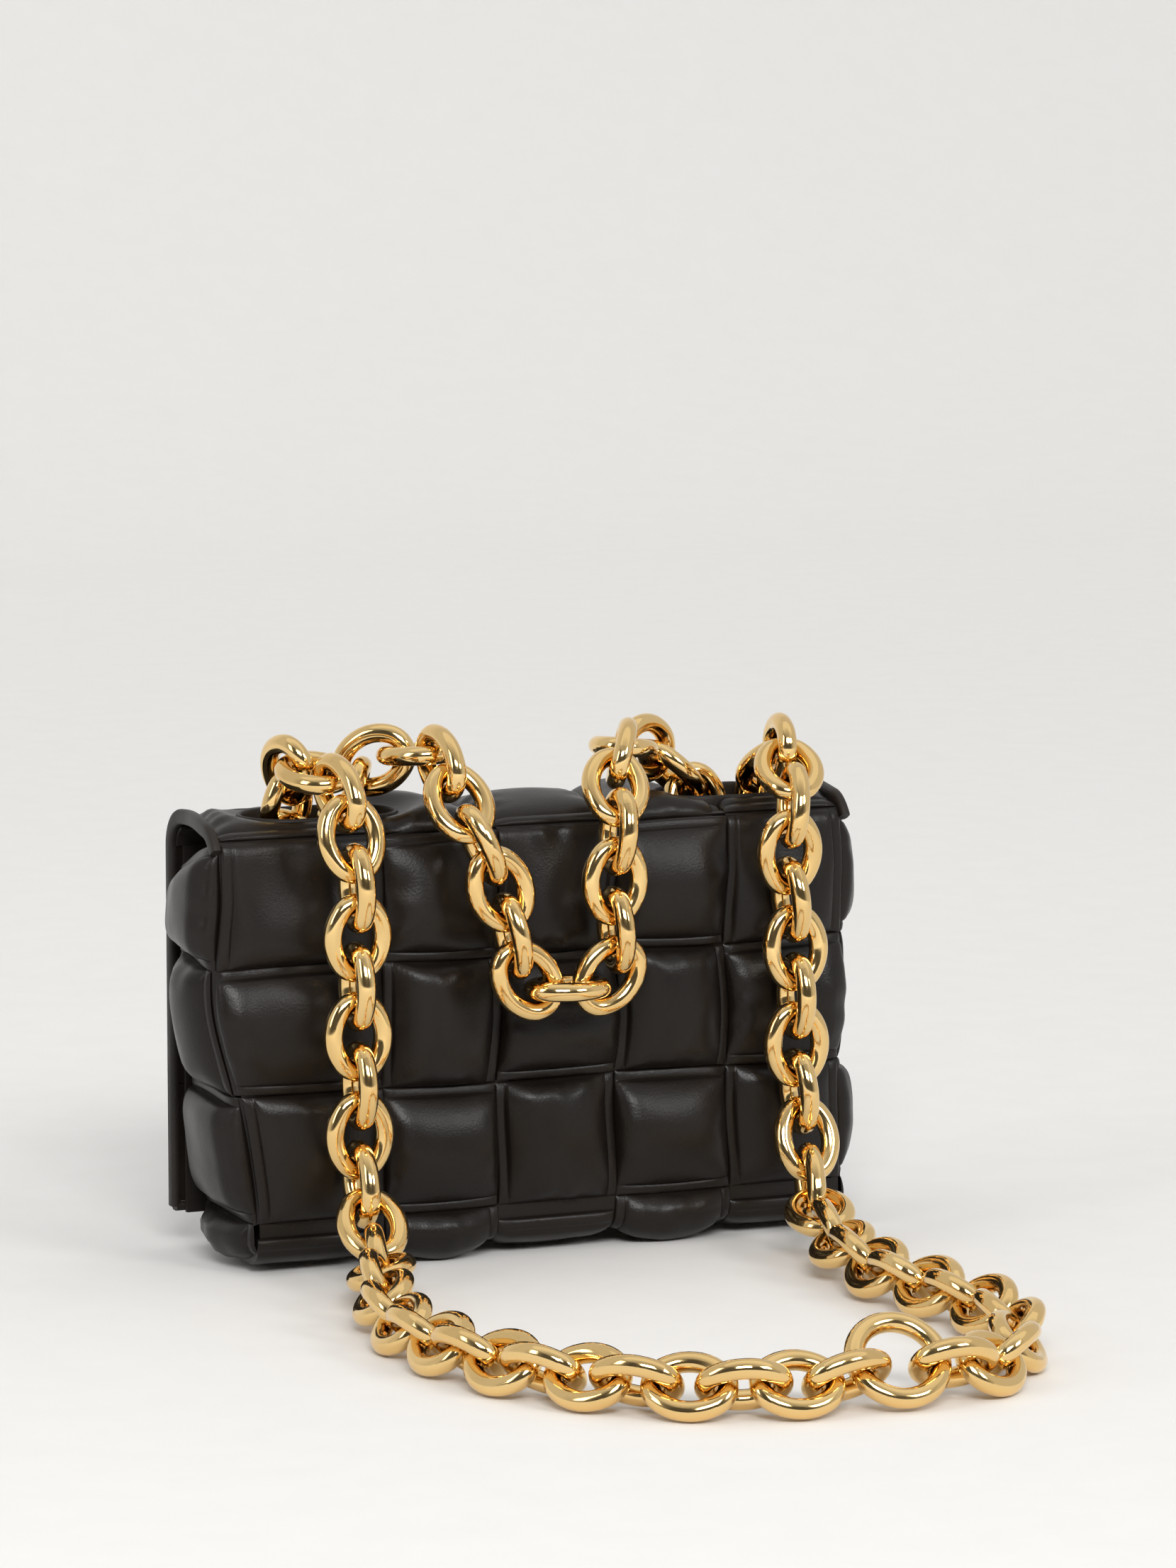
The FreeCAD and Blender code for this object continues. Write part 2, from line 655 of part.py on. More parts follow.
right_floor = [lying(0.375, -0.09, 0.55), lying(0.35, -0.2, 0.3), lying(0.33, -0.32, 0.05),
               lying(0.327, -0.44),
               lying(0.345, -0.56), lying(0.37, -0.68), lying(0.38, -0.80), lying(0.345, -0.94),
               lying(0.265, -1.05),
               lying(0.17, -1.105, 0.05)]

# Both runs end in the ring, which lies across them with its chord between their last links
ring_chord = 2 * ring_radius * ring_chord_share
tries = [closing_run(swag_bottom, right_route, left_floor, 1, hand) for hand in (-1, 1)]
chain_one = max(tries, key=lambda links: links[-1].normal.y * links[-1].normal.z)
left_end = chain_one[-1].end()
right_floor = right_floor + [left_end + AXIS_X * ring_chord]
tries = [closing_run(swag_bottom_back, left_route, right_floor, 0, hand) for hand in (-1, 1)]
chain_two = max(tries, key=lambda links: abs(links[-1].normal.dot(chain_one[-1].normal)))
right_end = chain_two[-1].end()
chord = unit(right_end - left_end)
facing = math.copysign(1, chain_one[-1].normal.dot(chain_two[-1].normal))
lean = chain_one[-1].normal + chain_two[-1].normal * facing
lean = unit(lean - chord * lean.dot(chord))
lean = lean * math.copysign(1, lean.z)
half_chord = (right_end - left_end).Length / 2
ring_centre = (left_end + right_end) * 0.5 + lean * math.sqrt(ring_radius ** 2 - half_chord ** 2)
export("chain_ring", [Part.makeTorus(ring_radius, wire_radius, ring_centre, chord.cross(lean))])


def sorted_run(links):
    """Split one strand where it hinges: swag arm, run through the top, drop and floor run."""
    arm = [link for link in links if link.edge_on() and link.along.z > hanging_share]
    arm = [link for link in arm if link.centre.y < weave_face_y and link.end().z < weave_top_z]
    falling = [link for link in links if link.edge_on() and link.along.z < -plumb_share]
    falling = [link for link in falling if link.centre.y < weave_face_y]
    low = [link for link in falling if link.start().z < drop_hinge_share * body_top]
    high = [link for link in falling if link.start().z > loop_hinge_share * body_top]
    top_hinge = links.index(arm[-1]) + 1
    drop_hinge = links.index(low[0])
    floor_hinge = links.index(high[-1])
    return links[:top_hinge], links[top_hinge:drop_hinge], links[drop_hinge:floor_hinge], links[floor_hinge:]


arm_right, through_one, drop_left, floor_left = sorted_run(chain_one)
arm_left, through_two, drop_right, floor_right = sorted_run(chain_two)
through = through_one + through_two


def inside(link):
    return link.centre.z <= body_top and link.centre.y > -half_depth


chain_groups = {
    "chain_swag": [swag_bottom] + arm_right + arm_left,
    "chain_top_left": [link for link in through if link.centre.x < 0 and not inside(link)],
    "chain_top_right": [link for link in through if link.centre.x > 0 and not inside(link)],
    "chain_inner_back": [link for link in through_one if inside(link)],
    "chain_inner_front": [link for link in through_two if inside(link)],
    "chain_drop_left": drop_left,
    "chain_drop_right": drop_right,
    "chain_floor_left": floor_left,
    "chain_floor_right": floor_right,
}
for name, links in chain_groups.items():
    export(name, [link.shape() for link in links])

hinge_points = {
    "flap_open": [Vec(0, hinge_y, hinge_z)],
    "swag_swing": [arm_left[-1].end(), arm_right[-1].end()],
    "strap_swing": [drop_left[0].start(), drop_right[0].start()],
    "loop_lift": [floor_left[0].start(), floor_right[0].start()],
    "pull_swing": [Vec(slider_x, pull_y + pull_thick / 2, pull_top - pull_thick / 2)],
}
for name, points in hinge_points.items():
    print(name, [tuple(round(value, 3) for value in point) for point in points])
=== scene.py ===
import bpy
import numpy as np
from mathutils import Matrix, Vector


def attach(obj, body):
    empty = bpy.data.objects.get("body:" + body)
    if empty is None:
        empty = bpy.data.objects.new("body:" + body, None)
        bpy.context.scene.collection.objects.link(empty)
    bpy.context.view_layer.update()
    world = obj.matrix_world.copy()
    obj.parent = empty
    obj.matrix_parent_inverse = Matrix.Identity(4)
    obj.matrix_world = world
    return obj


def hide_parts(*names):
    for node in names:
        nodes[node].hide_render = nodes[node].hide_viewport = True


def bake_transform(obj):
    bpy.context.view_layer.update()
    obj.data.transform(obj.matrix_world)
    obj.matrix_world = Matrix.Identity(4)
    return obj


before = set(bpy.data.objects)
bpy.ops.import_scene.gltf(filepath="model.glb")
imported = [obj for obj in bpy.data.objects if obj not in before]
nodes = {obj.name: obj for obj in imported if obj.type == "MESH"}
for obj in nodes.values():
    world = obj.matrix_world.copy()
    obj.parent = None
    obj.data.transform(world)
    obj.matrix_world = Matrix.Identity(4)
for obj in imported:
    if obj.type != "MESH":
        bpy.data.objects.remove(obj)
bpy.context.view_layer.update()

# ---- Lined panels ----
# The body behind the weave: base, back, front, gussets and top of stiffened leather, turned smooth side in.
# The flap has a lining of the same leather. The panels are glued and stitched along their edges.


class Finish:
    """A material's node tree: one Principled shader, with helpers that add and link nodes."""

    def __init__(self, name, **sockets):
        self.material = bpy.data.materials.new(name)
        self.material.use_nodes = True
        self.tree = self.material.node_tree
        self.shader = self.tree.nodes["Principled BSDF"]
        for socket, value in sockets.items():
            self.shader.inputs[socket.replace("_", " ")].default_value = value

    def add(self, kind, **inputs):
        node = self.tree.nodes.new(kind)
        for socket, value in inputs.items():
            self.feed(node, socket.replace("_", " "), value)
        return node

    def feed(self, node, socket, value):
        if isinstance(value, bpy.types.NodeSocket):
            self.tree.links.new(value, node.inputs[socket])
        else:
            node.inputs[socket].default_value = value

    def place(self):
        return self.add("ShaderNodeTexCoord").outputs["Object"]

    def noise(self, place, scale, detail=3.0, roughness=0.5):
        node = self.add("ShaderNodeTexNoise", Vector=place, Scale=scale, Detail=detail, Roughness=roughness)
        return node.outputs["Fac"]

    def cells(self, place, scale, feature="F1"):
        node = self.add("ShaderNodeTexVoronoi", Vector=place, Scale=scale)
        node.feature = feature
        return node.outputs["Distance"]

    def ramp(self, value, stops):
        node = self.add("ShaderNodeValToRGB", Fac=value)
        ends = node.color_ramp.elements
        for index, (at, colour) in enumerate(stops):
            stop = ends[index] if index < 2 else ends.new(at)
            stop.position = at
            stop.color = (*colour, 1.0) if hasattr(colour, "__len__") else (colour, colour, colour, 1.0)
        return node.outputs["Color"]

    def bump(self, height, strength, distance, under=None):
        node = self.add("ShaderNodeBump", Height=height, Strength=strength, Distance=distance)
        if under is not None:
            self.feed(node, "Normal", under)
        return node.outputs["Normal"]

    def paint(self, **links):
        for socket, value in links.items():
            self.feed(self.shader, socket.replace("_", " "), value)
        return self.material


def leather(name, dark, light, rough, grain_size, grain_height, sheen_noise=14.0):
    """Grained leather: pebbles from cell distance, pores from fine noise, cloudy colour and gloss."""
    finish = Finish(name, Specular_IOR_Level=0.27)
    place = finish.place()
    cloud = finish.noise(place, sheen_noise, 4.0)
    pebble = finish.cells(place, 1.0 / grain_size, "SMOOTH_F1")
    pores = finish.noise(place, 2.2 / grain_size, 2.0)
    colour = finish.ramp(cloud, [(0.3, dark), (0.7, light)])
    sheen = finish.noise(place, 4.0 * sheen_noise, 3.0)
    gloss = finish.ramp(sheen, [(0.25, rough - 0.06), (0.75, rough + 0.07)])
    grain = finish.bump(pores, 0.3, grain_height * 0.5, finish.bump(pebble, 0.7, grain_height))
    return finish.paint(Base_Color=colour, Roughness=gloss, Normal=grain)


def dress(material, *names):
    """Put a material on CAD nodes that stay in view."""
    for name in names:
        mesh = nodes[name].data
        mesh.materials.clear()
        mesh.materials.append(material)


panel_leather = leather("smooth_lining_leather", (0.012, 0.0095, 0.008), (0.019, 0.015, 0.0125),
                        0.5, 0.0006, 0.0001)
dress(panel_leather, "base_panel", "back_panel", "front_panel", "left_gusset", "right_gusset",
      "top_panel", "flap_lining")

# ---- Upright strips ----
# Five padded strips of soft black leather, each a tube of leather over foam with both long edges turned and
# pressed flat. They start under the base and go up the back over and under the cross bands, glued at the
# crossings.

MM = 0.001
HALF_WIDTH = 117.5
HALF_DEPTH = 28.0
BODY_TOP = 163.0
BASE_FACE = 10.0
COL_PITCH = 47.0
COL_EDGES = -HALF_WIDTH + COL_PITCH * np.arange(6)
FOOT_TOP = 20.0
ROW_EDGES = np.linspace(FOOT_TOP, BODY_TOP, 4)
EDGE_BEND = 3.0
WEB_LOW = 0.3
WEB_TOP = 1.6
PAD_LOW = 1.8
FLANGE_TOP = 3.9
PAD_CROWN = 10.5
PLUMP = 2.2
FLANGE = 3.7
FLANGE_FALL = 0.9
CREASE_WIDE = 0.55
LIP_WIDE = 0.8
PUCKER = 0.9
PUCKER_REACH = 14.0
STRIP_HALF = 23.4
TUCK = 8.0
TOP_EASE = 7.4
LEAN = 16.0
SPREAD = 5.0
FLAP_DRIFT = 5.0
WAVE = 1.5
WAVE_LENGTHS = (60.0, 150.0)
SWAY_LENGTHS = (60.0, 120.0)
DROP_X = 88.0
SWAG_X = -8.0
FLOOR_GAP = 0.05


def smooth(low, high, value):
    """Smooth step: 0 below low, 1 above high, and 3q2 - 2q3 in between, where q is the share of the way."""
    q = np.clip((value - low) / (high - low), 0.0, 1.0)
    return q * q * (3.0 - 2.0 * q)


def course(start, way, out, runs, bend):
    """Straight runs with quarter-circle bends, as a function from the length along them to place and out.

    At each corner the line turns away from its outer side: the new way is minus out, and the new out is the
    old way.
    """
    start, way, out = (np.array(value, float) for value in (start, way, out))

    def at(length):
        length = np.asarray(length, float)[..., None]
        origin, ahead, face = start, way, out
        place = origin + ahead * length
        facing = np.broadcast_to(face, place.shape)
        corner_at = 0.0
        for run in runs:
            corner_at = corner_at + run
            corner = origin + ahead * run
            turn = np.clip((length - corner_at + bend) / (2 * bend), 0.0, 1.0) * np.pi / 2
            swept = face * np.cos(turn) + ahead * np.sin(turn)
            arc = corner - bend * (face + ahead) + bend * swept
            after = corner - face * (length - corner_at)
            place = np.where(length > corner_at - bend, arc, place)
            place = np.where(length > corner_at + bend, after, place)
            facing = np.where(length > corner_at - bend, swept, facing)
            origin, ahead, face = corner, -face, ahead
        return place, facing

    return at


def ripple(seed, first, second, lengths, count=5):
    """Gentle unevenness between -1 and 1: the mean of waves with seeded headings, lengths and phases."""
    random = np.random.default_rng(seed)
    heading = random.uniform(0, 2 * np.pi, count)
    number = 2 * np.pi / random.uniform(lengths[0], lengths[1], count)
    phase = random.uniform(0, 2 * np.pi, count)
    turns = first[..., None] * np.cos(heading) + second[..., None] * np.sin(heading)
    return np.sin(turns * number + phase).mean(-1) * 1.6


def padded_heights(along, across, half, cells, seed, crown=PAD_CROWN, full=0.0):
    """Upper and lower height of a strip above its panel.

    Under a crossing it is a flat web. Over one it has a thin turned flange, a crease and a pillow, which is a
    rounded power of the share to the crease, steeper where it is full. Its ends go down as a quarter ellipse
    under the crossing strips.
    """
    gap = half - np.abs(across)
    share = np.clip(np.abs(across) / (half - FLANGE), 0.0, 1.0)
    pillow = (1.0 - share ** (2.0 + 1.6 * full)) ** (0.78 - 0.26 * full)
    lip = 1.0 - smooth(0.0, LIP_WIDE, gap)
    crease = np.exp(-((gap - FLANGE) / CREASE_WIDE) ** 2)
    over = np.zeros_like(along)
    swell = np.zeros_like(along)
    drawn = np.zeros_like(along)
    for low, high in cells:
        reach = np.abs(along - (low + high) / 2) / ((high - low) / 2)
        inside = np.clip((1.0 - reach) * (high - low) / 2 / TUCK, 0.0, 1.0)
        over = np.maximum(over, np.sqrt(1.0 - (1.0 - inside) ** 2))
        swell = np.maximum(swell, np.where(reach < 1.0, 1.0 - 0.3 * reach ** 2, 0.0))
        pull = np.exp(-((1.0 - reach) * (high - low) / PUCKER_REACH) ** 2)
        drawn = np.maximum(drawn, np.where(reach < 1.0, pull, 0.0))
    outward = 1.0 - np.clip(gap / FLANGE, 0.0, 1.0)
    turned = FLANGE_TOP - FLANGE_FALL * outward ** 1.5 - 0.4 * crease - 0.6 * lip ** 2
    uneven = 0.45 * ripple(seed, along, across, (22.0, 55.0)) - 0.35
    puckers = PUCKER * (1.0 - 0.8 * full) * drawn * ripple(seed + 1, 0.3 * along, across, (8.0, 17.0))
    pad = turned + (crown - FLANGE_TOP + uneven) * pillow * swell + puckers * (0.2 + pillow)
    upper = WEB_TOP + over * (pad - WEB_TOP)
    lower = WEB_LOW + np.clip(3.0 * over, 0.0, 1.0) * (PAD_LOW - WEB_LOW)
    return upper, lower


def edge_steps(half):
    """Places across a strip from -half to half, close together at the flanges and creases."""
    gaps = np.concatenate([np.linspace(0, LIP_WIDE, 3), np.linspace(1.3, FLANGE + 1.2, 10)[:-1],
                           np.linspace(FLANGE + 1.2, half, 14)])
    return np.concatenate([gaps - half, (half - gaps[:-1])[::-1]])


def end_steps(low, high, cells, step=2.2):
    """Places along a strip, close together on both sides of each cell's ends and even elsewhere."""
    near = np.array([-3.0, -1.5, -0.5, 0.0, 0.12, 0.35, 0.7, 1.2, 1.9, 2.8, 4.0, 5.5])
    close = [end + turn * near for cell in cells for end, turn in zip(cell, (1, -1))]
    far = np.linspace(low, high, int((high - low) / step) + 1)
    away = np.abs(far[:, None] - np.array(cells).reshape(1, -1)).min(1) > 6.5
    steps = np.unique(np.concatenate([far[away], [low, high], *close]).round(4))
    return steps[(steps >= low) & (steps <= high)]


def closed_shell(name, upper, lower, keep=None):
    """Closed piece between two grids in mm: quads on both, and a wall on each edge that only one quad has."""
    rows, cols = upper.shape[:2]
    index = np.arange(rows * cols).reshape(rows, cols)
    quads = np.stack([index[:-1, :-1], index[1:, :-1], index[1:, 1:], index[:-1, 1:]], -1).reshape(-1, 4)
    points = np.concatenate([upper.reshape(-1, 3), lower.reshape(-1, 3)])
    corner = points[quads]
    rise = np.cross(corner[:, 2] - corner[:, 0], corner[:, 3] - corner[:, 1])
    if (rise * (corner - points[quads + rows * cols]).mean(1)).sum() < 0:
        quads = quads[:, ::-1]
    if keep is not None:
        quads = quads[keep.reshape(-1)]
    edges = np.concatenate([quads[:, [0, 1]], quads[:, [1, 2]], quads[:, [2, 3]], quads[:, [3, 0]]])
    _, which, count = np.unique(np.sort(edges, 1), axis=0, return_inverse=True, return_counts=True)
    rim = edges[count[which.reshape(-1)] == 1]
    walls = np.stack([rim[:, 1], rim[:, 0], rim[:, 0] + rows * cols, rim[:, 1] + rows * cols], -1)
    return new_piece(name, points, np.concatenate([quads, quads[:, ::-1] + rows * cols, walls]))


def new_piece(name, points, faces, sharp=50.0):
    """Mesh object from points in mm and faces, without unused points, shaded smooth between sharp edges."""
    used, faces = np.unique(faces, return_inverse=True)
    mesh = bpy.data.meshes.new(name)
    mesh.from_pydata((points[used] * MM).tolist(), [], faces.reshape(-1, 4).tolist())
    mesh.polygons.foreach_set("use_smooth", np.ones(len(mesh.polygons), bool))
    mesh.set_sharp_from_angle(angle=np.radians(sharp))
    piece = bpy.data.objects.new(name, mesh)
    bpy.context.scene.collection.objects.link(piece)
    return piece


def lift(at, length, height, sideways, axes):
    """Points on a course, raised by height along its out direction.

    The axes are the two that the course lies in, and the third for the places sideways.
    """
    place, out = at(length)
    spot = place + out * height[..., None]
    points = np.empty(spot.shape[:-1] + (3,))
    points[..., axes[0]] = spot[..., 0]
    points[..., axes[1]] = spot[..., 1]
    points[..., axes[2]] = sideways
    return points


def strip_grid(low, high, half, cells):
    """Grid of places along and across a strip."""
    return np.meshgrid(end_steps(low, high, cells), edge_steps(half), indexing="ij")


def side_shift(x, y, left_share, right_share):
    """How far the soft sides stand out of the plain box.

    The left side leans out most at the back edge. Towards the front both sides spread to the flap's width,
    the left one a little farther.
    """
    front = smooth(-HALF_DEPTH, HALF_DEPTH - 1.0, y)
    outer = smooth(HALF_WIDTH - COL_PITCH, HALF_WIDTH, np.abs(x))
    spread = SPREAD * front * np.clip(np.abs(x) / HALF_WIDTH, 0.0, 1.0)
    lean = (LEAN * (1.0 - front) + FLAP_DRIFT * front) * outer
    return np.where(x < 0, -(spread + lean) * left_share, spread * right_share)


def slouch(points, share=1.0):
    """Points of the back and the sides moved out by the lean, which grows from the foot to the middle row.

    Gentle waves, less towards the foot and the top, make the rows and columns a little uneven together. The
    floor presses the foot flat.
    """
    x, y, z = points[..., 0], points[..., 1], points[..., 2]
    flap = smooth(HALF_DEPTH, HALF_DEPTH + 5.0, y)
    left = np.maximum(0.12 + 0.88 * smooth(25.0, 105.0, z), flap)
    right = np.maximum(smooth(115.0, BODY_TOP, z), flap)
    calm = (1.0 - flap) * (1.0 - smooth(138.0, 160.0, z))
    moved = points.copy()
    drift = WAVE * calm * ripple(71, x + y, z, WAVE_LENGTHS)
    rise = 1.6 * calm * smooth(14.0, 50.0, z) * ripple(72, x + y, z, WAVE_LENGTHS)
    moved[..., 0] = x + share * side_shift(x, y, left, right) + drift
    moved[..., 2] = np.maximum(z + rise, FLOOR_GAP)
    return moved


def padded_shell(name, at, along, heights, sideways, axes, keep=None):
    """Closed padded strip on a course. Its webs stay on the panel, and the rest leans with the soft sides."""
    upper, lower = heights
    raised = (lower - WEB_LOW) / (PAD_LOW - WEB_LOW)
    return closed_shell(name, slouch(lift(at, along, upper, sideways, axes)),
                        slouch(lift(at, along, lower, sideways, axes), raised), keep)


upright_course = course((HALF_DEPTH, BASE_FACE), (-1, 0), (0, -1),
                        (2 * HALF_DEPTH, BODY_TOP - BASE_FACE), EDGE_BEND)
BACK_START = 2 * HALF_DEPTH - BASE_FACE
TOP_EDGE = BACK_START + BODY_TOP
woven_leather = leather("padded_black_leather", (0.0062, 0.0044, 0.0034), (0.0095, 0.0068, 0.0053),
                        0.36, 0.0008, 0.00008)


def finish_pad(piece, replaced, body="body"):
    """Leather of one padded piece, the body it rides with, and the CAD nodes it replaces, hidden."""
    piece.data.materials.append(woven_leather)
    if body:
        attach(piece, body)
    if replaced:
        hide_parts(*replaced)


def back_crown(x, z):
    """Height of the back's pads: plumper clear of the drops and the swag, lower by the top edge."""
    by_drop = smooth(15.0, 32.0, np.abs(np.abs(x) - DROP_X))
    clear = by_drop * (1.0 - smooth(80.0, 95.0, z) * (1.0 - smooth(28.0, 44.0, np.abs(x - SWAG_X))))
    ease = TOP_EASE * (1.0 - 0.55 * clear) * smooth(118.0, BODY_TOP + 5.0, z)
    return PAD_CROWN + PLUMP * clear * smooth(18.0, 40.0, z) - ease


def bow(along, cells):
    """Scale of a strip's width: 1 at a cell's ends and a little more at its middle, as a parabola."""
    scale = np.ones_like(along)
    for low, high in cells:
        reach = np.abs(along - (low + high) / 2) / ((high - low) / 2)
        scale = scale + 0.022 * np.clip(1.0 - reach ** 2, 0.0, 1.0)
    return scale


row_stops = np.concatenate([[3.0], BACK_START + ROW_EDGES])
for column in range(1, 6):
    middle = COL_EDGES[column - 1] + COL_PITCH / 2
    cells = [(row_stops[i], row_stops[i + 1]) for i in range(4) if (4 - i + column) % 2 == 0]
    along, across = strip_grid(1.0, TOP_EDGE + (6.0 if column % 2 else -20.0), STRIP_HALF, cells)
    crown = back_crown(middle + across, along - BACK_START)
    heights = padded_heights(along, across, STRIP_HALF, cells, 10 * column, crown)
    sway = 0.5 * ripple(10 * column + 5, along, 0 * along, SWAY_LENGTHS)
    x = middle + across * bow(along, cells) + sway
    strip = padded_shell("upright_leather_%d" % column, upright_course, along, heights, x, (1, 2, 0))
    finish_pad(strip, ["upright_strip_%d" % column, "base_strip_%d" % column])

# ---- Side strips ----
# One upright strip on each gusset, of the same padded leather. It comes from under the base, goes over in the
# foot and in the middle row, and is held under the cross bands elsewhere.

SIDE_HALF = 26.3
SIDE_TUCK = 8.0
SIDE_END = 138.0
SIDE_CROWN = {"left": 13.0, "right": 10.4}
for side, sign in (("left", -1), ("right", 1)):
    side_course = course((sign * (HALF_WIDTH - SIDE_TUCK), BASE_FACE), (sign, 0), (0, -1), (SIDE_TUCK,),
                         EDGE_BEND)
    foot = SIDE_TUCK - BASE_FACE
    cells = [(5.0, foot + ROW_EDGES[0]), (foot + ROW_EDGES[1], foot + ROW_EDGES[2])]
    along, across = strip_grid(2.0, foot + SIDE_END, SIDE_HALF, cells)
    heights = padded_heights(along, across, SIDE_HALF, cells, 100 + sign, SIDE_CROWN[side])
    wrap = np.where(across < 0, 0.1 * (1.0 - smooth(foot + 14.0, foot + 34.0, along)), 0.0)
    strip = padded_shell("side_leather_" + side, side_course, along, heights, across * (1.0 + wrap),
                         (0, 2, 1))
    finish_pad(strip, ["side_strip_" + side])

# ---- Cross bands ----
# Three padded bands round the left gusset, the back and the right gusset, woven over and under the uprights.
# The top one is cut slantwise on the gussets, where the top edge of the body falls towards the front.

band_course = course((-HALF_WIDTH, HALF_DEPTH), (0, -1), (-1, 0), (2 * HALF_DEPTH, 2 * HALF_WIDTH), EDGE_BEND)
SIDE_RUN = 2 * HALF_DEPTH
GUSSET_FALL = 14.0
BAND_HALF = STRIP_HALF + 0.3
band_stops = np.concatenate([[1.0], SIDE_RUN + HALF_WIDTH + COL_EDGES, [2 * SIDE_RUN + 2 * HALF_WIDTH - 1.0]])
for row in range(1, 4):
    low_z = ROW_EDGES[3 - row]
    high_z = ROW_EDGES[4 - row]
    cells = [(band_stops[i], band_stops[i + 1]) for i in range(7) if (row + i) % 2]
    along, across = strip_grid(0.5, band_stops[-1] + 0.5, BAND_HALF, cells)
    side_share = np.maximum(SIDE_RUN - along, along - SIDE_RUN - 2 * HALF_WIDTH) / SIDE_RUN
    fall = GUSSET_FALL * np.clip(side_share, 0.0, 1.0) if row == 1 else 0.0 * along
    half = BAND_HALF - fall / 2
    spread = across * half / BAND_HALF
    crown = back_crown(along - SIDE_RUN - HALF_WIDTH, (low_z + high_z) / 2 + across)
    crown = np.where(along < SIDE_RUN, SIDE_CROWN["left"], crown)
    full = smooth(-0.05, 0.15, side_share)
    heights = padded_heights(along, spread, half, cells, 200 + 10 * row, crown, full)
    level = (low_z + high_z) / 2 - fall / 2 + spread * bow(along, cells)
    level = level + 0.5 * ripple(205 + row, along, 0 * along, SWAY_LENGTHS)
    band = padded_shell("cross_leather_%d" % row, band_course, along, heights, level, (0, 1, 2))
    finish_pad(band, ["cross_band_%d" % row])

# ---- Top band ----
# One wide padded band along the top, over the odd columns. Both chain slots are cut through it, and round
# them the padding is pressed down to the bound edge.

SLOT_X = 84.5
SLOT_REACH = 13.0
RIM_RADIUS = 16.5
SLOT_RADIUS = RIM_RADIUS + 1.8
SLOT_SNAP = 2.0
TOP_MIDDLE = TOP_EDGE + HALF_DEPTH
SLOT_EDGE_TOP = 5.4


def slot_distance(x, y):
    """Distance outside both round-ended slots, and the direction away from them, in the flat of the top."""
    near = np.where(x < 0, -SLOT_X, SLOT_X)
    offset = np.stack([x - near - np.clip(x - near, -SLOT_REACH, SLOT_REACH), y], -1)
    size = np.maximum(np.linalg.norm(offset, axis=-1), 1e-6)
    return size - SLOT_RADIUS, offset / size[..., None]


def cut_slots(x, length):
    """Moves the points just inside a slot out to its edge, and says which quads lie outside the slots."""
    distance, away = slot_distance(x, length - TOP_MIDDLE)
    shift = np.where((distance < 0) & (distance > -SLOT_SNAP), -distance, 0.0)
    deep = distance <= -SLOT_SNAP
    keep = ~(deep[:-1, :-1] | deep[1:, :-1] | deep[1:, 1:] | deep[:-1, 1:])
    return x + away[..., 0] * shift, length + away[..., 1] * shift, keep


def pressed(upper, x, length):
    """Heights of the top's padding, pressed down to the bound edge round the slots."""
    distance, _ = slot_distance(x, length - TOP_MIDDLE)
    rest = SLOT_EDGE_TOP + (upper - SLOT_EDGE_TOP) * smooth(-1.0, 11.0, distance)
    return np.where(upper > SLOT_EDGE_TOP, rest, upper)


top_half = HALF_DEPTH - 1.0
top_cells = [(COL_EDGES[i], COL_EDGES[i + 1]) for i in (0, 2, 4)]
place_x, across = strip_grid(-HALF_WIDTH + 0.5, HALF_WIDTH - 0.5, top_half, top_cells)
x, length, keep = cut_slots(place_x + side_shift(place_x, across, 1.0, 1.0), TOP_MIDDLE + across)
upper, lower = padded_heights(place_x, across, top_half, top_cells, 300)
upper = pressed(upper, x, length)
band = closed_shell("top_leather", lift(upright_course, length, upper, x, (1, 2, 0)),
                    lift(upright_course, length, lower, x, (1, 2, 0)), keep)
finish_pad(band, ["top_band"])

# ---- Base band ----
# The lowest band runs along the lower back edge and under the base, over the odd columns, and carries the bag
# on the floor between the turned-under uprights.

base_half = 29.5
base_middle = 31.0
base_reach = 5.5
base_cells = [(-HALF_WIDTH - base_reach, COL_EDGES[1]), top_cells[1], (COL_EDGES[4], HALF_WIDTH + base_reach)]
x, across = strip_grid(-HALF_WIDTH - 1.0, HALF_WIDTH + 1.0, base_half, base_cells)
heights = padded_heights(x, across, base_half, base_cells, 310, crown=9.6)
band = padded_shell("base_leather", upright_course, base_middle + across, heights, x, (1, 2, 0))
finish_pad(band, ["base_band"])

# ---- Slot bindings ----
# A narrow strip of leather turned round the edge of each chain slot and stitched down, with a rolled rim. It
# keeps the links from wearing through the cut edge of the top.

RIM_MIDDLE = 165.3
RIM_HIGH = 4.2
RIM_THICK = 0.95


def rim_loop(centre_x, reach, radius, turns=96):
    """Closed round-ended loop: places and the directions out, by the angle round its two half circles."""
    angle = np.linspace(0, 2 * np.pi, turns, endpoint=False) - np.pi / 2
    out = np.stack([np.cos(angle), np.sin(angle)], -1)
    ends = np.where(np.cos(angle) >= 0, reach, -reach)
    return np.stack([centre_x + ends + radius * out[:, 0], radius * out[:, 1]], -1), out


def swept_loop(name, loop, out, profile):
    """Closed profile of (outward, up) pairs carried round a closed loop in the flat of the top."""
    spot = loop[:, None, :] + out[:, None, :] * profile[None, :, :1]
    points = np.concatenate([spot, np.broadcast_to(profile[None, :, 1:], spot.shape[:2] + (1,))], -1)
    return tube_piece(name, points, True)


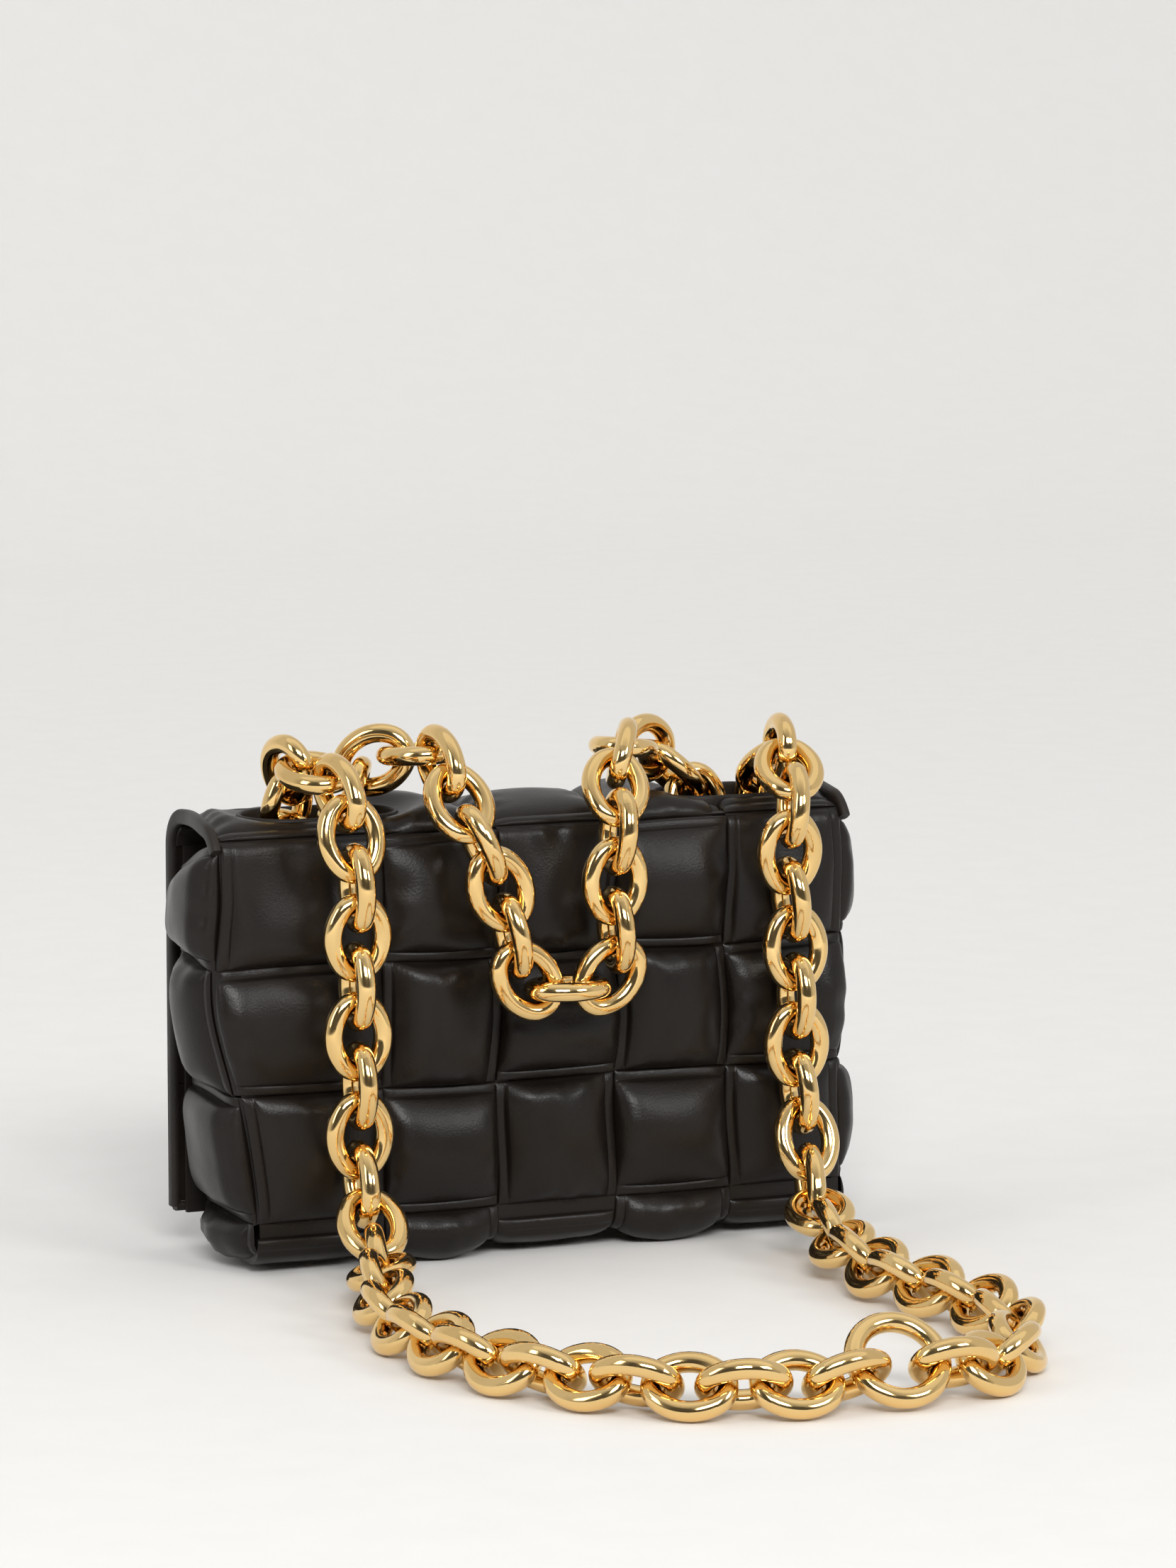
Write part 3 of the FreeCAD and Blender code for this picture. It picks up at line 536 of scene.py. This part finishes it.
def tube_piece(name, points, ring):
    """Quads over a grid of closed sections, joined as a ring, or closed with a fan of quads at both ends."""
    rows, cols = points.shape[:2]
    index = np.arange(rows * cols).reshape(rows, cols)
    ahead = np.roll(index, -1, 0) if ring else index[1:]
    here = index if ring else index[:-1]
    quads = np.stack([here, np.roll(here, -1, 1), np.roll(ahead, -1, 1), ahead], -1).reshape(-1, 4)
    if not ring:
        half = cols // 2
        side = np.arange(half - 1)
        fan = np.stack([side, cols - 1 - side, cols - 2 - side, side + 1], -1)
        quads = np.concatenate([quads, index[0][fan][:, ::-1], index[-1][fan]])
    return new_piece(name, points.reshape(-1, 3), quads)


turn = np.linspace(0, 2 * np.pi, 16, endpoint=False)
rim_profile = np.stack([0.8 + RIM_THICK * np.sign(np.cos(turn)) * np.abs(np.cos(turn)) ** 0.6,
                        RIM_MIDDLE + RIM_HIGH * np.sign(np.sin(turn)) * np.abs(np.sin(turn)) ** 0.5], -1)
for side, sign in (("left", -1), ("right", 1)):
    loop, out = rim_loop(sign * SLOT_X, SLOT_REACH, RIM_RADIUS)
    rim = swept_loop("slot_rim_" + side, loop, out, rim_profile)
    rim.data.materials.append(panel_leather)
    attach(rim, "body")
    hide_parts("slot_binding_" + side)

# ---- Fold strips ----
# The uprights' upper stretch: out of the weave at the top, round the rolled fold and into the flap's weave.
# The even ones lie over the top band's gaps, the odd ones come out from under it.

FLAP_FACE = 33.0
FOLD_BEND = 9.0
FLAP_TOP = 154.7
FLAP_FOOT = 18.0
FLAP_ROWS = np.linspace(FLAP_FOOT, FLAP_TOP, 4)
FOLD_FOOT = 140.0
FOLD_TOP = BODY_TOP - FOLD_FOOT
fold_course = course((-HALF_DEPTH, FOLD_FOOT), (0, 1), (-1, 0), (FOLD_TOP, HALF_DEPTH + FLAP_FACE), FOLD_BEND)
FOLD_END = FOLD_TOP + HALF_DEPTH + FLAP_FACE
FOLD_MIDDLE = FOLD_TOP + HALF_DEPTH
for column in range(1, 6):
    middle = COL_EDGES[column - 1] + COL_PITCH / 2
    if column % 2:
        cell = (FOLD_MIDDLE + HALF_DEPTH - 0.5, FOLD_END + BODY_TOP - FLAP_ROWS[2])
        ends = (cell[0] - 6.0, cell[1] + 8.0)
    else:
        cell = (FOLD_TOP, FOLD_END + BODY_TOP - FLAP_TOP + 2.0)
        ends = (cell[0] - 8.0, cell[1] + 8.0)
    along, across = strip_grid(*ends, STRIP_HALF, [cell])
    upper, lower = padded_heights(along, across, STRIP_HALF, [cell], 400 + column)
    x = middle + across
    x = x + side_shift(x, along - FOLD_MIDDLE, 1.0, 1.0)
    x, along_top, keep = cut_slots(x, along - FOLD_MIDDLE + TOP_MIDDLE)
    along = along_top - TOP_MIDDLE + FOLD_MIDDLE
    upper = pressed(upper, x, along_top)
    strip = closed_shell("fold_leather_%d" % column, lift(fold_course, along, upper, x, (1, 2, 0)),
                         lift(fold_course, along, lower, x, (1, 2, 0)), keep)
    finish_pad(strip, ["top_fold"], body=None)
    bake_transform(strip)

# ---- Fold lining ----
# A soft strip of the lining leather inside the fold, from the front edge of the top to the flap's lining.
# It is glued under the strips.

EDGE_LAP = 1.5
LINING_TOP = 0.15
LINING_LOW = -1.0
lining_along = np.linspace(FOLD_MIDDLE + HALF_DEPTH + 0.3, FOLD_END + 8.0, 40)
lining_along, lining_x = np.meshgrid(lining_along, np.linspace(-1.0, 1.0, 30) * (HALF_WIDTH + EDGE_LAP),
                                     indexing="ij")
lining_x = lining_x + side_shift(lining_x, lining_along - FOLD_MIDDLE, 1.0, 1.0)
level = np.zeros_like(lining_x)
lining = closed_shell("fold_lining",
                      lift(fold_course, lining_along, level + LINING_TOP, lining_x, (1, 2, 0)),
                      lift(fold_course, lining_along, level + LINING_LOW, lining_x, (1, 2, 0)))
lining.data.materials.append(panel_leather)
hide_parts("top_fold")
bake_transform(lining)

# ---- Flap weave ----
# The front of the flap has the same weave, a little wider than the body: five uprights and three cross bands
# over the lining, ending at the hem.

flap_course = course((FLAP_FACE, BODY_TOP), (0, -1), (1, 0), (), EDGE_BEND)
flap_stops = BODY_TOP - FLAP_ROWS[::-1]
FLAP_EDGES = COL_EDGES * (1.0 + SPREAD / HALF_WIDTH)
FLAP_EDGES[0] = FLAP_EDGES[0] - FLAP_DRIFT - EDGE_LAP
for column in range(1, 6):
    middle = (FLAP_EDGES[column - 1] + FLAP_EDGES[column]) / 2
    flap_half = (FLAP_EDGES[column] - FLAP_EDGES[column - 1]) / 2 - 0.3
    cells = [(flap_stops[i], flap_stops[i + 1]) for i in range(column % 2, 3) if (1 + i + column) % 2 == 0]
    along, across = strip_grid(flap_stops[column % 2] + 4.0, flap_stops[-1] - 0.3, flap_half, cells)
    upper, lower = padded_heights(along, across, flap_half, cells, 500 + 10 * column)
    strip = closed_shell("flap_upright_%d" % column,
                         lift(flap_course, along, upper, middle + across * bow(along, cells), (1, 2, 0)),
                         lift(flap_course, along, lower, middle + across, (1, 2, 0)))
    finish_pad(strip, ["flap_strip_%d" % column], "flap")
for row in range(1, 4):
    low, high = flap_stops[row - 1], flap_stops[row]
    half = (high - low) / 2 - 0.3
    cells = [(FLAP_EDGES[i], FLAP_EDGES[i + 1]) for i in range(5) if (row + i + 1) % 2]
    x, across = strip_grid(FLAP_EDGES[0] + 0.4, FLAP_EDGES[-1] - 0.4, half, cells)
    upper, lower = padded_heights(x, across, half, cells, 600 + 10 * row)
    band = closed_shell("flap_cross_%d" % row,
                        lift(flap_course, (low + high) / 2 + across * bow(x, cells), upper, x, (1, 2, 0)),
                        lift(flap_course, (low + high) / 2 + across, lower, x, (1, 2, 0)))
    finish_pad(band, ["flap_band_%d" % row], "flap")

# ---- Flap edge ----
# A narrow leather binding turned round the cut edge: along each side of the top, over the fold, down the
# flap's side and along the hem. It is stitched through all layers.

EDGE_X = 119.6
EDGE_WIDE = 1.9
EDGE_THICK = 2.9
EDGE_RISE = 3.4
EDGE_ARCH = 1.8
HEM_Z = 16.0
edge_lengths = np.concatenate([np.linspace(FOLD_TOP - 3.0, FOLD_END + 20.0, 110),
                               np.linspace(FOLD_END + 22.0, FOLD_END + BODY_TOP - HEM_Z, 50)])
top_share = np.clip((edge_lengths - FOLD_TOP) / (2 * HALF_DEPTH), 0, 1)
edge_rise = EDGE_RISE + EDGE_ARCH * np.sin(top_share * np.pi)
place, out = fold_course(edge_lengths)
turn = np.linspace(0, 2 * np.pi, 20, endpoint=False)
wide = EDGE_WIDE * np.sign(np.cos(turn)) * np.abs(np.cos(turn)) ** 0.6
thick = EDGE_THICK * np.sign(np.sin(turn)) * np.abs(np.sin(turn)) ** 0.6
for side, sign in (("left", -1), ("right", 1)):
    spot = place[:, None, :] + out[:, None, :] * (edge_rise[:, None, None] + thick[None, :, None])
    edge_x = np.broadcast_to((sign * (EDGE_X + wide))[None, :, None], spot.shape[:2] + (1,))
    points = slouch(np.concatenate([edge_x, spot], -1))
    edge = tube_piece("flap_edge_" + side, points if sign > 0 else points[:, ::-1], False)
    edge.data.materials.append(panel_leather)
    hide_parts("flap_binding")
    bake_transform(edge)
hem_x = np.linspace(-EDGE_X - SPREAD - FLAP_DRIFT, EDGE_X + SPREAD, 120)
hem = np.stack(np.broadcast_arrays(hem_x[:, None], FLAP_FACE + EDGE_RISE + thick, HEM_Z + wide), -1)
hem = tube_piece("flap_hem", hem, False)
hem.data.materials.append(panel_leather)
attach(hem, "flap")
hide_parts("flap_binding")

# ---- Magnets ----
# Two pairs of nickel-plated steel discs that hold the flap shut. They are pressed into the flap's lining and
# the front panel.


def brushed(name, colour, rough, scale):
    """Worn plated metal: gloss and colour that drift with noise, and fine scratches as bump."""
    finish = Finish(name, Metallic=1.0)
    place = finish.place()
    drift = finish.noise(place, scale, 4.0)
    tint = finish.ramp(drift, [(0.3, [0.86 * value for value in colour]), (0.7, colour)])
    gloss = finish.ramp(finish.noise(place, 6.0 * scale, 2.0), [(0.3, 0.8 * rough), (0.7, 1.25 * rough)])
    scratches = finish.bump(finish.noise(place, 40.0 * scale), 0.04, 0.0001)
    return finish.paint(Base_Color=tint, Roughness=gloss, Normal=scratches)


dress(brushed("magnet_plating", (0.62, 0.61, 0.59), 0.28, 60.0), "panel_magnets", "flap_magnets")

# ---- Pocket and zip ----
# A flat cotton pocket on the inside of the back, closed by a metal zip on a woven tape. The slider has a pull
# that hangs from it.


def woven_cloth(name, colour, thread):
    """Plain woven cloth: two crossing wave patterns as bump and as a slight change of colour."""
    finish = Finish(name, Roughness=0.85, Specular_IOR_Level=0.25)
    place = finish.place()
    waves = []
    for way in ("X", "Z"):
        wave = finish.add("ShaderNodeTexWave", Vector=place, Scale=0.32 / thread, Distortion=0.4)
        wave.bands_direction = way
        waves.append(wave.outputs["Fac"])
    mix = finish.add("ShaderNodeMath")
    mix.operation = "MULTIPLY"
    finish.feed(mix, 0, waves[0])
    finish.feed(mix, 1, waves[1])
    tint = finish.ramp(mix.outputs[0], [(0.0, [0.7 * value for value in colour]), (1.0, colour)])
    return finish.paint(Base_Color=tint, Normal=finish.bump(mix.outputs[0], 0.4, 0.0002))


dress(woven_cloth("pocket_cotton", (0.03, 0.026, 0.023), 0.0008), "pocket_bag", "zip_tape")
dress(brushed("zip_brass", (0.72, 0.5, 0.22), 0.25, 80.0), "zip_teeth", "zip_slider", "zip_pull")

# ---- Chain ----
# The strap: heavy oval links of round cast wire with a polished gold-tone plating, hooked through each other,
# and one round ring that joins both ends.


def polished_gold(name):
    """Polished plating: warm yellow metal, slight drift of colour and gloss, and faint casting ripples."""
    finish = Finish(name, Metallic=1.0)
    place = finish.place()
    drift = finish.noise(place, 30.0, 2.0)
    tint = finish.ramp(drift, [(0.3, (0.84, 0.57, 0.235)), (0.7, (0.89, 0.63, 0.28))])
    gloss = finish.ramp(finish.noise(place, 180.0, 3.0), [(0.3, 0.07), (0.75, 0.15)])
    cast = finish.bump(finish.noise(place, 260.0, 1.0), 0.05, 0.0004)
    return finish.paint(Base_Color=tint, Roughness=gloss, Normal=cast)


chain_nodes = [name for name in nodes if name.startswith("chain_")]
dress(polished_gold("polished_gold_plating"), *chain_nodes)

# ---- Floor, light and camera ----
# A pale sweep of paper as floor and backdrop, two soft boxes in front, a weak one at the left, an even glow
# from above, and the camera of the photograph.


def paper_sweep(name, near, far, wall, bend, half):
    """Floor that bends up into a wall: a straight run, a quarter circle and a straight rise."""
    angle = np.linspace(0, np.pi / 2, 24)
    arc = np.stack([far + bend * np.sin(angle), bend * (1 - np.cos(angle))], -1)
    section = np.concatenate([[[near, 0.0]], arc, [[far + bend, wall]]])
    side = np.linspace(-half, half, 9)
    points = np.empty((len(section), len(side), 3))
    points[..., 0] = side
    points[..., 1:] = section[:, None, :]
    index = np.arange(points.size // 3).reshape(points.shape[:2])
    quads = np.stack([index[:-1, :-1], index[:-1, 1:], index[1:, 1:], index[1:, :-1]], -1).reshape(-1, 4)
    return new_piece(name, points.reshape(-1, 3), quads)


paper = Finish("pale_paper", Roughness=0.9, Specular_IOR_Level=0.2, Emission_Color=(1.0, 0.985, 0.965, 1.0))
grain = paper.noise(paper.place(), 40.0, 4.0)
seen = paper.add("ShaderNodeLightPath").outputs
depth = paper.add("ShaderNodeSeparateXYZ", Vector=paper.place()).outputs["Y"]
behind = paper.add("ShaderNodeMapRange", Value=depth, From_Max=4.0).outputs["Result"]
glow = paper.ramp(behind, [(0.0, 0.0), (1.0, 0.21), (0.2, 0.08), (0.6, 0.18)])
shown = paper.add("ShaderNodeMath")
shown.operation = "MAXIMUM"
paper.feed(shown, 0, seen["Is Camera Ray"])
paper.feed(shown, 1, seen["Is Glossy Ray"])
lit = paper.add("ShaderNodeMath")
lit.operation = "MULTIPLY"
paper.feed(lit, 0, shown.outputs[0])
paper.feed(lit, 1, glow)
paper.paint(Emission_Strength=lit.outputs[0])
paper.paint(Base_Color=paper.ramp(grain, [(0.3, (0.8, 0.789, 0.769)), (0.7, (0.816, 0.806, 0.787))]))
sweep = paper_sweep("paper_sweep", -4500.0, 2500.0, 4500.0, 1500.0, 5000.0)
sweep.data.materials.append(paper.material)


def soft_box(name, place, aim, size, power):
    """Area lamp at a place, turned to an aim point."""
    lamp = bpy.data.lights.new(name, "AREA")
    lamp.shape = "RECTANGLE"
    lamp.size, lamp.size_y = size
    lamp.energy = power
    box = bpy.data.objects.new(name, lamp)
    box.location = place
    box.rotation_euler = (Vector(aim) - Vector(place)).to_track_quat("-Z", "Y").to_euler()
    bpy.context.scene.collection.objects.link(box)


soft_box("front_box", (-1.3, -4.1, 2.7), (0, 0, 0.1), (2.2, 1.4), 160.0)
soft_box("right_box", (2.0, -4.0, 2.35), (0, 0, 0.1), (1.4, 1.3), 62.0)
soft_box("left_box", (-2.0, -0.6, 1.1), (0, 0, 0.1), (0.5, 1.2), 7.0)
sky = bpy.data.lights.new("ceiling_glow", "SUN")
sky.energy = 0.34
sky.angle = np.radians(80.0)
ceiling = bpy.data.objects.new("ceiling_glow", sky)
ceiling.rotation_euler = Vector((-0.05, 0.27, -0.96)).to_track_quat("-Z", "Y").to_euler()
bpy.context.scene.collection.objects.link(ceiling)

world = bpy.data.worlds.new("studio")
world.use_nodes = True
bpy.context.scene.world = world
room = world.node_tree.nodes
room_links = world.node_tree.links
toward = room.new("ShaderNodeVectorMath")
toward.operation = "DOT_PRODUCT"
toward.inputs[1].default_value = (-0.375, -0.912, 0.165)
room_links.new(room.new("ShaderNodeTexCoord").outputs["Generated"], toward.inputs[0])
shade = room.new("ShaderNodeValToRGB")
room_links.new(toward.outputs["Value"], shade.inputs["Fac"])
shade.color_ramp.elements[0].position = 0.25
shade.color_ramp.elements[0].color = (0.64, 0.64, 0.64, 1.0)
shade.color_ramp.elements[1].position = 0.8
shade.color_ramp.elements[1].color = (0.08, 0.08, 0.08, 1.0)
room_links.new(shade.outputs["Color"], room["Background"].inputs["Color"])

camera = bpy.data.objects.new("camera", bpy.data.cameras.new("camera"))
bpy.context.scene.collection.objects.link(camera)
bpy.context.scene.camera = camera
CAMERA_PLACE = Vector((-0.91518, -2.22039, 0.49189))
BAG_MIDDLE = Vector((0, 0, 0.09))
FOCAL_PIXELS = 9000.0
SENSOR_HIGH = 24.0
IMAGE_HIGH = 2212.0
OFFSET_PIXELS = (88.0, 313.0)
camera.location = CAMERA_PLACE
sight = BAG_MIDDLE - CAMERA_PLACE
across = sight.cross(Vector((0, 0, 1))).normalized()
upward = across.cross(sight).normalized()
sight = sight + (across * OFFSET_PIXELS[0] + upward * OFFSET_PIXELS[1]) * (sight.length / FOCAL_PIXELS)
camera.rotation_euler = sight.to_track_quat("-Z", "Y").to_euler()
camera.data.sensor_fit = "VERTICAL"
camera.data.sensor_height = SENSOR_HIGH
camera.data.lens = SENSOR_HIGH * FOCAL_PIXELS / IMAGE_HIGH
camera.data.clip_end = 50.0
bpy.context.scene.view_settings.view_transform = "Standard"
